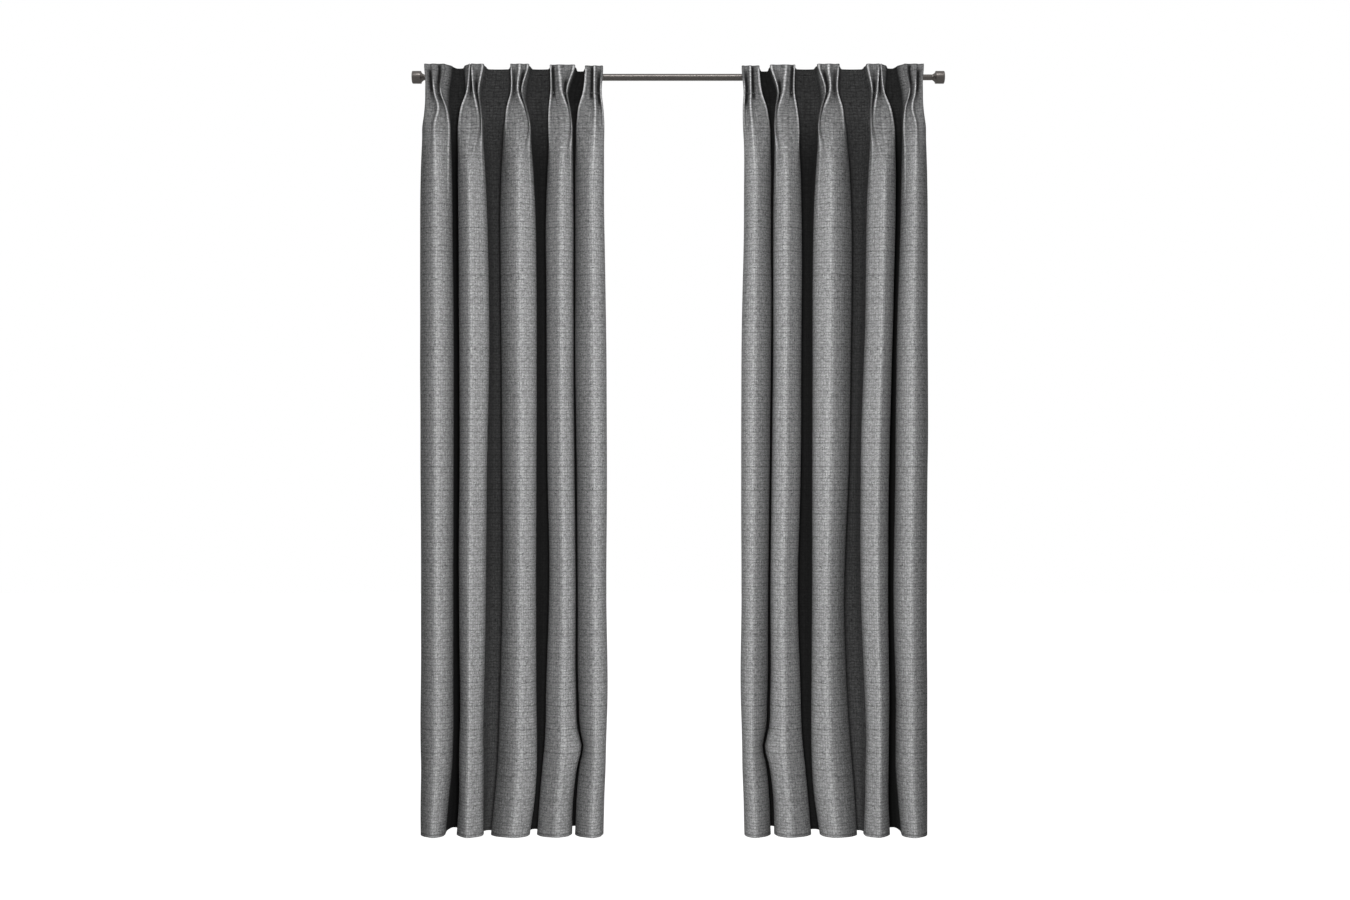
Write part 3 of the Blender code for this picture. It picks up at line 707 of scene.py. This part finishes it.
# the right panel hangs a little differently: how far its fold edges lie from the mirrored left ones
SHIFT_DEPTHS = (0.0, 0.09, 0.18, 0.40, 0.70, 1.10, 1.50, 1.80, 2.00, 2.134)
RIGHT_SHIFTS = (
    (0.0,) * 10,
    (-0.003, -0.009, -0.014, -0.014, -0.008, -0.003, 0.003, -0.003, 0.002, 0.003),
    (-0.008, -0.008, -0.013, -0.015, -0.011, -0.003, 0.003, -0.003, 0.002, 0.003),
    (-0.006, -0.008, -0.014, -0.016, -0.018, 0.000, 0.003, -0.003, -0.003, 0.003),
    (-0.006, -0.003, -0.005, -0.011, -0.013, -0.008, 0.005, 0.000, -0.006, 0.000),
    (0.005, 0.003, -0.002, -0.003, -0.003, -0.003, 0.000, 0.000, -0.002, -0.004),
    (0.008, 0.008, 0.001, 0.000, 0.000, 0.000, 0.003, 0.003, 0.000, 0.000),
    (0.008, 0.008, 0.003, 0.004, 0.004, 0.005, 0.005, 0.005, 0.005, 0.005),
    (0.010, 0.009, 0.005, 0.005, 0.004, 0.005, 0.006, 0.006, 0.006, 0.006),
    (0.009, 0.007, 0.001) + (0.0,) * 7,
)

ROWS = np.concatenate([np.linspace(0, 0.34, 61)[:-1], np.linspace(0.34, DROP - 0.02, 79)[:-1],
                       np.linspace(DROP - 0.02, DROP, 10)])
kinds = panel_controls(ROWS[:1])[1]


def section_at(rows):
    """The cloth's line from above, (inwards, y), at every one of these depths below the top."""
    controls = panel_controls(rows)[0]
    return spline(np.stack([np.stack(c, axis=1) for c in controls], axis=1),
                  [SAMPLES[kind] for kind in kinds[:-1]])


section = section_at(ROWS)
starts = [sum(SAMPLES[kind] for kind in kinds[:k]) for k in range(len(kinds))]
RIDGE_COLUMNS = [start for start, kind in zip(starts, kinds) if kind == "ridge"]
first_points = [LEAD_IN_POINTS + (len(FOLD_KINDS) + GAP_POINTS) * k for k in range(len(PLEATS))]
FOLD_COLUMNS = [(starts[k], starts[k + len(FOLD_KINDS) - 1]) for k in first_points]
# the cloth's length across, measured where it hangs freely a metre down
free_row = int(np.searchsorted(ROWS, 1.0))
across = np.concatenate([[0], np.cumsum(np.linalg.norm(np.diff(section[free_row], axis=0), axis=1))])


BULGE = 0.0016                # how far the cloth swells and dips, in slow waves and in quicker ones
RIPPLE = 0.0006
HEM_FLUTTER = 0.0018


def waves(seed, across, t, long, wide, count):
    """A slow seeded unevenness of the cloth, between about -1 and 1."""
    dice = np.random.default_rng(seed)
    total = 0
    for _ in range(count):
        along, over = dice.uniform(0.6, 1.6, 2)
        phase, tilt = dice.uniform(0, 2 * math.pi), dice.uniform(-1, 1)
        total = total + np.sin(2 * math.pi * (t / (long * along) + across * over / wide * tilt) + phase)
    return total / math.sqrt(count) * 0.7


def panel_points(side, rows=ROWS, inset=0.0):
    """The cloth's points, row by row, moved back by inset along the cloth's own normal."""
    t = rows[:, None]
    line = section_at(rows)
    if side > 0:
        edges = [edge for number in range(len(PLEATS)) for edge in fold_controls(number, rows)[1]]
        shifts = [down(SHIFT_DEPTHS, shift, rows) for shift in RIGHT_SHIFTS]
        for row, marks, moves in zip(line, np.transpose(edges), np.transpose(shifts)):
            row[:, 0] += np.interp(row[:, 0], marks, moves)
    inwards, y = line[..., 0], line[..., 1]
    slope = np.gradient(line, axis=1)
    normal = np.stack([-slope[..., 1], slope[..., 0]], axis=-1)
    normal /= np.linalg.norm(normal, axis=-1, keepdims=True)
    seed = 11 if side < 0 else 23
    bulge = waves(seed, across[None, :], t, 0.9, 0.35, 5) * BULGE
    bulge = bulge + waves(seed + 1, across[None, :], t, 0.35, 0.12, 5) * RIPPLE
    flutter = waves(seed + 2, across[None, :], t, 0.5, 0.10, 4) * HEM_FLUTTER * smooth(1.7, DROP, t)
    freedom = smooth(0.10, 0.40, t) * (0.25 + 0.75 * smooth(0.10, 0.125, -y))
    moved = (bulge + flutter) * freedom + inset
    inwards = inwards + normal[..., 0] * moved
    y = y + normal[..., 1] * moved
    drop, rise = edge_shift(section[:1, :, 0])
    z = TOP - t - drop * (1 - smooth(0, 0.10, t)) + rise * smooth(DROP - 0.25, DROP, t)
    return np.stack([side * (OUTER_EDGE - inwards), y, z], axis=-1)


def edge_shift(inwards):
    """How far the top edge drops and the hem rises at each place across the panel."""
    drop, rise = np.zeros_like(inwards), np.zeros_like(inwards)
    marks, drops, rises = [-0.01], [TOP_DROPS[0]], [0.0]
    for number, pleat in enumerate(PLEATS):
        a, b = pleat["top"]
        marks += [a, b]
        drops += [TOP_DROPS[number]] * 2
        rises += [0.0, 0.0]
        if number < len(PLEATS) - 1:
            marks += [b + (0.010 if number == 0 else 0.003), PLEATS[number + 1]["top"][0] - 0.003]
            drops += [FLAT_DROPS[number]] * 2
            rises += [HEM_RISES[number]] * 2
    return np.interp(inwards, marks, drops), np.interp(inwards, marks, rises)


def cloth_mesh(name, points, uv, finish):
    """A sheet of cloth over a grid of points, with its place on the flat cloth and its finish."""
    rows, columns = points.shape[:2]
    mesh = bpy.data.meshes.new(name)
    index = np.arange(rows * columns).reshape(rows, columns)
    quads = np.stack([index[:-1, :-1], index[1:, :-1], index[1:, 1:], index[:-1, 1:]], axis=-1)
    mesh.from_pydata(points.reshape(-1, 3).tolist(), [], quads.reshape(-1, 4).tolist())
    layer = mesh.uv_layers.new(name="weave")
    corners = np.empty(len(mesh.loops), dtype=np.int32)
    mesh.loops.foreach_get("vertex_index", corners)
    layer.data.foreach_set("uv", uv.reshape(-1, 2)[corners].astype(np.float32).ravel())
    mesh.shade_smooth()
    mesh.materials.append(finish)
    mesh.materials.append(back_cloth)
    made = bpy.data.objects.new(name, mesh)
    cloth.objects.link(made)
    return made


def thicken(made, thickness):
    """Gives a sheet its thickness, towards the back, where the reverse of the cloth shows."""
    solid = made.modifiers.new("thickness", "SOLIDIFY")
    solid.thickness = thickness
    solid.offset = -1
    solid.use_even_offset = False
    solid.material_offset = 1
    apply_modifiers(made)
    return made


CELL = 0.0161                 # height of two squares of the weave, each of four threads by four
SQUARES_UP = 2.0              # squares in one cell, upwards and across
SQUARES_ACROSS = 2.3
SLUB_EVERY = 0.066            # height from one thick weft thread to the next
SLUB_TONE = -0.30
basket, given = new_group(
    "basket_weave",
    {"Place": "NodeSocketVector", "Cell": "NodeSocketFloat", "Heather": "NodeSocketFloat",
     "Slub": "NodeSocketFloat"},
    {"Tone": "NodeSocketFloat", "Height": "NodeSocketFloat"})
tree = basket
place = add_node(tree, "ShaderNodeSeparateXYZ", {0: given["Place"]})
u, v = place.outputs["X"], place.outputs["Y"]


def thread_noise(scale_u, scale_v, detail=2.0, shift=0.0):
    """Unevenness that runs along the threads, about -1 to 1."""
    at = add_node(tree, "ShaderNodeCombineXYZ", {"X": calc(tree, "MULTIPLY", u, scale_u),
                                                 "Y": calc(tree, "MULTIPLY", v, scale_v), "Z": shift})
    return calc(tree, "MULTIPLY_ADD", noise(tree, at.outputs[0], 1.0, detail, 0.6), 4.0, -2.0)


def threads(turn):
    """Four round threads side by side in each square."""
    return calc(tree, "ABSOLUTE", calc(tree, "SINE", calc(tree, "MULTIPLY", turn, 4.0)))


def chosen(warp, weft):
    return add_node(tree, "ShaderNodeMix", {"Factor": warp_on_top, 2: weft, 3: warp}).outputs[0]


turn_u = calc(tree, "DIVIDE", calc(tree, "MULTIPLY", u, SQUARES_ACROSS * math.pi), given["Cell"])
turn_v = calc(tree, "DIVIDE", calc(tree, "MULTIPLY", v, SQUARES_UP * math.pi), given["Cell"])
over = calc(tree, "MULTIPLY", calc(tree, "SINE", turn_u), calc(tree, "SINE", turn_v))
warp_on_top = ranged(tree, over, -0.12, 0.12)
thread_round = chosen(threads(turn_u), threads(turn_v))
thread_tone = chosen(thread_noise(330, 45), thread_noise(75, 330, shift=4.0))
crown = calc(tree, "POWER", calc(tree, "ABSOLUTE", over), 0.5)

# heather: uneven threads, flecks, a mottle and faint clouds, each with its share in the tone
tone = 1.0
for unevenness, share in ((thread_tone, 0.55), (thread_noise(330, 420, 3.0, 9.0), 0.42),
                          (thread_noise(115, 190, 2.0, 27.0), 0.30), (thread_noise(9, 5, 2.0, 15.0), 0.03)):
    tone = calc(tree, "MULTIPLY_ADD", unevenness, share, tone)
tone = calc(tree, "ADD", calc(tree, "MULTIPLY", calc(tree, "SUBTRACT", tone, 1.0), given["Heather"]), 1.0)
tone = calc(tree, "MULTIPLY", tone, ranged(tree, thread_round, 0.0, 0.7, 0.74, 1.08))
# a darker line between two squares
for turn, dark in ((turn_v, 0.74), (turn_u, 0.84)):
    from_edge = calc(tree, "ABSOLUTE", calc(tree, "SINE", turn))
    tone = calc(tree, "MULTIPLY", tone, ranged(tree, from_edge, 0.0, 0.6, dark, 1.06))
tone = calc(tree, "MULTIPLY", tone, calc(tree, "MULTIPLY_ADD", calc(tree, "COSINE", turn_v), 0.07, 1.0))

# slubs: thin dark lines across the cloth, which wander a little and come and go
wander = calc(tree, "MULTIPLY_ADD", thread_noise(6, 0.5, 1.0, 21.0), 0.012,
              calc(tree, "DIVIDE", v, SLUB_EVERY))
from_slub = calc(tree, "ABSOLUTE", calc(tree, "SUBTRACT", calc(tree, "FRACT", wander), 0.5))
slub = ranged(tree, from_slub, 0.012, 0.036, 1.0, 0.0)
slub = calc(tree, "MULTIPLY", slub, ranged(tree, thread_noise(150, 15, 2.0, 33.0), -0.6, 0.5, 0.1, 1.0))
slub = calc(tree, "MULTIPLY", slub, given["Slub"])
tone = calc(tree, "MULTIPLY", tone, calc(tree, "MULTIPLY_ADD", slub, SLUB_TONE, 1.0))
rise = calc(tree, "MULTIPLY_ADD", thread_round, 0.5, calc(tree, "MULTIPLY", crown, 0.5))
rise = calc(tree, "MULTIPLY_ADD", thread_tone, 0.12, rise)
rise = calc(tree, "MULTIPLY_ADD", slub, 0.5, rise)
add_node(tree, "NodeGroupOutput", {"Tone": tone, "Height": rise})


THREAD_RELIEF = 0.0007


def cloth_finish(name, colour, heather=1.0, slub=1.0, painted_shading=False):
    """Woven cloth: threads from the weave group, and where asked, painted shade and painted highlight from
    the fold that the cloth lies in.
    """
    made, tree, shader = new_material(name)
    weave = add_node(tree, "ShaderNodeGroup", node_tree=basket)
    feed(tree, weave, {"Place": add_node(tree, "ShaderNodeUVMap", uv_map="weave").outputs["UV"],
                       "Cell": CELL, "Heather": heather, "Slub": slub})
    tone = weave.outputs["Tone"]
    if painted_shading:
        # painted shade and painted highlight, set per point on the panel, darken and lighten the colour
        painted_fold_light = add_node(tree, "ShaderNodeAttribute", attribute_name="painted_fold_light").outputs["Fac"]
        tone = calc(tree, "MULTIPLY", tone, painted_fold_light)
    scaled = add_node(tree, "ShaderNodeVectorMath", {0: colour, "Scale": tone}, operation="SCALE")
    relief = add_node(tree, "ShaderNodeBump", {"Height": weave.outputs["Height"], "Strength": 0.7,
                                               "Distance": THREAD_RELIEF})
    feed(tree, shader, {"Base Color": scaled.outputs[0], "Normal": relief.outputs["Normal"],
                        "Roughness": ranged(tree, weave.outputs["Height"], 0.0, 1.0, 0.98, 0.86),
                        "Specular IOR Level": 0.15, "Sheen Weight": 0.02, "Sheen Roughness": 0.6})
    return made


CLOTH_GREY = (0.300, 0.301, 0.303)
BACK_GREY = (0.250, 0.250, 0.252)
# the face carries the painted shade and painted highlight; the reverse does not
face_cloth = cloth_finish("grey_basket_weave", CLOTH_GREY, painted_shading=True)
back_cloth = cloth_finish("grey_basket_weave_reverse", BACK_GREY, heather=0.7, slub=0.6)
# painted shade: how far the cloth's colour is darkened between two folds, in the heading and below it
GAP_PAINTED_SHADES = ((0.045, 0.004), (0.10, 0.085), (0.08, 0.020), (0.02, 0.012))
GAP_SHADE_LIFTS = (0.5, 0.9, 0.2, 0.0)  # and how much the gap's painted shade lightens near the hem
GAP_REACH = 14                # columns past a fold's edge that a gap's painted shade can reach
# painted shade over the pleats' heading, and across each fold: painted shade at its outer and inner edges and
# flank, a painted highlight on its crest, a little less past it
HEADING_PAINTED_SHADE = 0.53
EDGE_PAINTED_SHADES = ((0.28, 0.56), (0.42, 0.80), (0.28, 0.80), (0.46, 0.80), (0.34, 0.66))
FLANK_PAINTED_SHADE = 0.58
CREST_PAINTED_HIGHLIGHT = 1.10
PAST_CREST_PAINTED_LIGHT = 0.90
# a pale line of painted highlight along each pressed crease
CREASE_PAINTED_HIGHLIGHT = 1.45
CREASE_WIDTH = 0.0026
BESIDE_CREASE_PAINTED_SHADE = 0.40          # share of the colour lost to painted shade on both sides of a crease
# a dark line of painted shade along each closed cleft
CLEFT_PAINTED_SHADE = 0.03
CLEFT_WIDTH = 0.0060
SLIT_PAINTED_SHADE = 0.85             # share of the colour lost to painted shade deep between two fingers
# lighter painted shade on the back of the outermost flanks, and a thin line of painted shade just above the
# hem's bottom edge
OUTER_FLANK_PAINTED_SHADE = 0.85
HEM_EDGE_PAINTED_SHADE = 0.35


def pleat_front(fold):
    """The columns from a pleat's first finger to its last."""
    return slice(FOLD_COLUMNS[fold][0] + 6, FOLD_COLUMNS[fold][1] - 5)


def lit_between(first, last, before, after, t):
    """1 between two depths, fading out within so much before the first and after the last."""
    return smooth(first - before[0], first + before[1], t) * (1 - smooth(last - after[0], last + after[1], t))


def painted_fold_shading(y):
    """Painted shade and painted highlight of the cloth at every point: painted shade in the gaps, clefts and
    heading, painted highlight on crests and along each pressed crease.
    """
    t = ROWS[:, None]
    columns = np.arange(section.shape[1])
    tone = np.ones_like(y)
    opened = smooth(HEADING, FULL_FOLD, t)
    # each fold's face: painted shade towards its edges, painted highlight on its crest
    for number, (outer_tone, inner_tone) in enumerate(EDGE_PAINTED_SHADES):
        outer, inner = plain_edges(number, t)
        share = (section[..., 0] - outer) / (inner - outer)
        crest = CRESTS[number]
        face = np.interp(share, (0, crest * 0.3, crest * 0.72, crest, crest + 0.14, 0.90, 1.0),
                         (outer_tone, outer_tone * 1.12, FLANK_PAINTED_SHADE, CREST_PAINTED_HIGHLIGHT, PAST_CREST_PAINTED_LIGHT,
                          inner_tone, inner_tone))
        low, high = FOLD_COLUMNS[number]
        mine = (low <= columns) & (columns <= high)
        tone = np.where(mine[None, :], mixed(HEADING_PAINTED_SHADE, face, opened), tone)
    # painted shade in the gaps between folds, strongest where the cloth lies furthest back
    deep = mixed(smooth(-0.138, -0.112, y), smooth(-0.118, -0.095, y), opened)
    for number, (in_heading, in_body) in enumerate(GAP_PAINTED_SHADES):
        low, high = FOLD_COLUMNS[number][1], FOLD_COLUMNS[number + 1][0]
        mine = (columns > low - GAP_REACH) & (columns < high + GAP_REACH)
        in_body = in_body * (1 + GAP_SHADE_LIFTS[number] * smooth(1.2, 2.0, t))
        tone = np.where(mine[None, :], mixed(tone, mixed(in_heading, in_body, opened), deep), tone)
    # painted shade deep between two fingers, near the top
    slit = smooth(0.005, 0.016, y - PLEAT_TIP_Y) * (1 - smooth(0.085, 0.14, t)) * smooth(0.0, 0.012, t)
    for number in range(len(PLEATS)):
        front = pleat_front(number)
        tone[:, front] *= (1 - SLIT_PAINTED_SHADE * slit)[:, front]
    lengths = np.cumsum(np.linalg.norm(np.diff(section, axis=1, prepend=section[:, :1]), axis=2), axis=1)
    for number, pleat in enumerate(PLEATS):
        ridges = RIDGE_COLUMNS[3 * number:3 * number + 3]
        # a dark line of painted shade along each closed cleft
        for cleft, first, last in pleat["cleft_shade_spans"]:
            column = ridges[cleft] + SAMPLES["ridge"]
            away = (lengths - lengths[:, column:column + 1]) / CLEFT_WIDTH
            fade = lit_between(first, last, (0.006, 0.008), (0.008, 0.010), t)
            tone = mixed(tone, CLEFT_PAINTED_SHADE, np.exp(-away ** 4) * fade)
        # a painted highlight along each pressed crease, with painted shade on both sides of it
        for finger, first, last in pleat["crease_highlight_spans"]:
            away = (lengths - lengths[:, ridges[finger]:ridges[finger] + 1]) / CREASE_WIDTH
            fade = lit_between(first, last, (0.012, 0.004), (0.4 * (last - first), 0.015), t)
            beside = np.exp(-(np.abs(away) - 2.4) ** 2)
            tone = tone * (1 - BESIDE_CREASE_PAINTED_SHADE * beside * fade * (1 - smooth(0.10, 0.20, t)))
            tone = mixed(tone, CREASE_PAINTED_HIGHLIGHT * (1.3 - 0.3 * smooth(0.09, 0.15, t)), np.exp(-away ** 2) * fade)
    # lighter painted shade on the back of the outermost flanks
    for edge in (columns < FOLD_COLUMNS[0][0] + 9, columns > FOLD_COLUMNS[-1][1] - 9):
        tone = np.where(edge[None, :], mixed(tone, OUTER_FLANK_PAINTED_SHADE, smooth(-0.112, -0.095, y)), tone)
    # a thin line of painted shade just above the hem's bottom edge
    edge_line = np.exp(-((DROP - t - 0.0065) / 0.0016) ** 2)
    return tone * (1 - HEM_EDGE_PAINTED_SHADE * edge_line)


def follows_cloth(piece):
    """Bakes the piece's place into its mesh."""
    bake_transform(piece)


def weave_place(rows, low=0, high=None):
    """Where each point lies on the flat cloth, so that the weave runs on without a break."""
    return np.stack(np.broadcast_arrays(across[None, low:high], DROP - rows[:, None]), axis=-1)


# the turnings at the back, each sewn with a row of stitches
BOTTOM_HEM = 0.100
SIDE_HEM = 0.038
HEM_LAYER = 0.0010
HEM_GAP = 0.0003              # between the panel and a hem's layer
STITCH = 0.0042
STITCH_PITCH = 0.0072
THREAD = 0.00035              # radius of the sewing thread
THREAD_SIDES = 5
TACK_PROUD = 0.0002           # how far the pleats' tacks stand in front of the cloth
hem_rows = np.concatenate([np.linspace(DROP - BOTTOM_HEM, DROP - 0.02, 9)[:-1],
                           np.linspace(DROP - 0.02, DROP - 0.0012, 5)])
heading_rows = np.concatenate([[0.0012], np.linspace(0.004, HEADING - 0.002, 22)])
side_rows = np.concatenate([np.linspace(0.082, 0.34, 40)[:-1], np.linspace(0.34, DROP - 0.102, 70)])
thread_grey, tree, shader = new_material("sewing_thread")
twist = add_node(tree, "ShaderNodeTexWave", {"Scale": 900.0, "Distortion": 1.5},
                 bands_direction="DIAGONAL").outputs["Fac"]
shade = add_node(tree, "ShaderNodeMix", {"Factor": twist, "A": (0.13, 0.13, 0.132, 1),
                                         "B": (0.30, 0.30, 0.303, 1)}, data_type="RGBA")
feed(tree, shader, {"Base Color": shade.outputs["Result"],
                    "Roughness": ranged(tree, twist, 0.0, 1.0, 0.8, 0.6)})


def hem_strip(name, side, rows, low=0, high=None):
    """A layer of the same cloth folded flat on the back, between two columns."""
    points = panel_points(side, rows, CLOTH_THICKNESS + HEM_GAP)[:, low:high]
    uv = weave_place(rows, low, high)
    if side > 0:
        points, uv = points[:, ::-1], uv[:, ::-1]
    return thicken(cloth_mesh(name, points, uv, back_cloth), HEM_LAYER)


def stitches(name, lines):
    """Rows of short thread stitches lying on lines of points, with a gap between two stitches."""
    points, faces = [], []
    for line in lines:
        along = np.concatenate([[0], np.cumsum(np.linalg.norm(np.diff(line, axis=0), axis=1))])
        for start in np.arange(STITCH_PITCH, along[-1] - STITCH_PITCH, STITCH_PITCH):
            spots = [np.array([np.interp(start + STITCH * share, along, line[:, axis]) for axis in range(3)])
                     for share in (0.0, 0.25, 0.75, 1.0)]
            way = Vector(spots[-1] - spots[0]).normalized()
            out = way.orthogonal().normalized()
            aside = way.cross(out)
            first = len(points)
            for spot, girth in zip(spots, (0.25, 1.0, 1.0, 0.25)):
                for k in range(THREAD_SIDES):
                    turn = 2 * math.pi * k / THREAD_SIDES
                    round_it = out * math.cos(turn) + aside * math.sin(turn)
                    points.append(Vector(spot) + round_it * THREAD * girth)
            for a in range(first, len(points) - THREAD_SIDES):
                b = a + 1 if (a + 1 - first) % THREAD_SIDES else a + 1 - THREAD_SIDES
                faces.append((a, b, b + THREAD_SIDES, a + THREAD_SIDES))
            faces.append(tuple(range(first + THREAD_SIDES - 1, first - 1, -1)))
            faces.append(tuple(range(len(points) - THREAD_SIDES, len(points))))
    return finished(name, points, faces, thread_grey, 60, cloth)


for side_name, side in (("left", -1), ("right", 1)):
    points, uv = panel_points(side), weave_place(ROWS)
    # painted shade and painted highlight for every point of the panel
    tone = painted_fold_shading(points[..., 1])
    if side > 0:
        points, uv, tone = points[:, ::-1], uv[:, ::-1], tone[:, ::-1]
    panel = cloth_mesh(f"{side_name}_panel", points, uv, face_cloth)
    panel.data.attributes.new("painted_fold_light", "FLOAT", "POINT").data.foreach_set(
        "value", np.ascontiguousarray(tone, dtype=np.float32).ravel())
    thicken(panel, CLOTH_THICKNESS)

    low, high = np.searchsorted(across, (SIDE_HEM, across[-1] - SIDE_HEM))
    hems = [hem_strip(f"{side_name}_bottom_hem", side, hem_rows),
            hem_strip(f"{side_name}_heading_turning", side, heading_rows),
            hem_strip(f"{side_name}_outer_side_hem", side, side_rows, 0, low),
            hem_strip(f"{side_name}_leading_side_hem", side, side_rows, high)]
    seam_depth = CLOTH_THICKNESS + HEM_GAP + HEM_LAYER + THREAD * 0.4
    seam_rows = np.array([HEADING - 0.005, DROP - BOTTOM_HEM + 0.003])
    seams = [*panel_points(side, seam_rows, seam_depth)]
    side_seams = panel_points(side, side_rows, seam_depth)
    seams += [side_seams[:, low - 2], side_seams[:, high + 1]]
    tack_rows = np.array([HEADING - 0.004, HEADING - 0.002, HEADING])
    tacks = [line[pleat_front(fold)] for line in panel_points(side, tack_rows, -TACK_PROUD)
             for fold in range(len(PLEATS))]
    hems += [stitches(f"{side_name}_hem_stitches", seams), stitches(f"{side_name}_pleat_tacks", tacks)]
    for piece in (panel, *hems):
        follows_cloth(piece)
    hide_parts(*[f"{side_name}_fold_{k}" for k in range(1, 6)])


# ---- last update --------------------------------------------------------------------------------
bpy.context.view_layer.update()
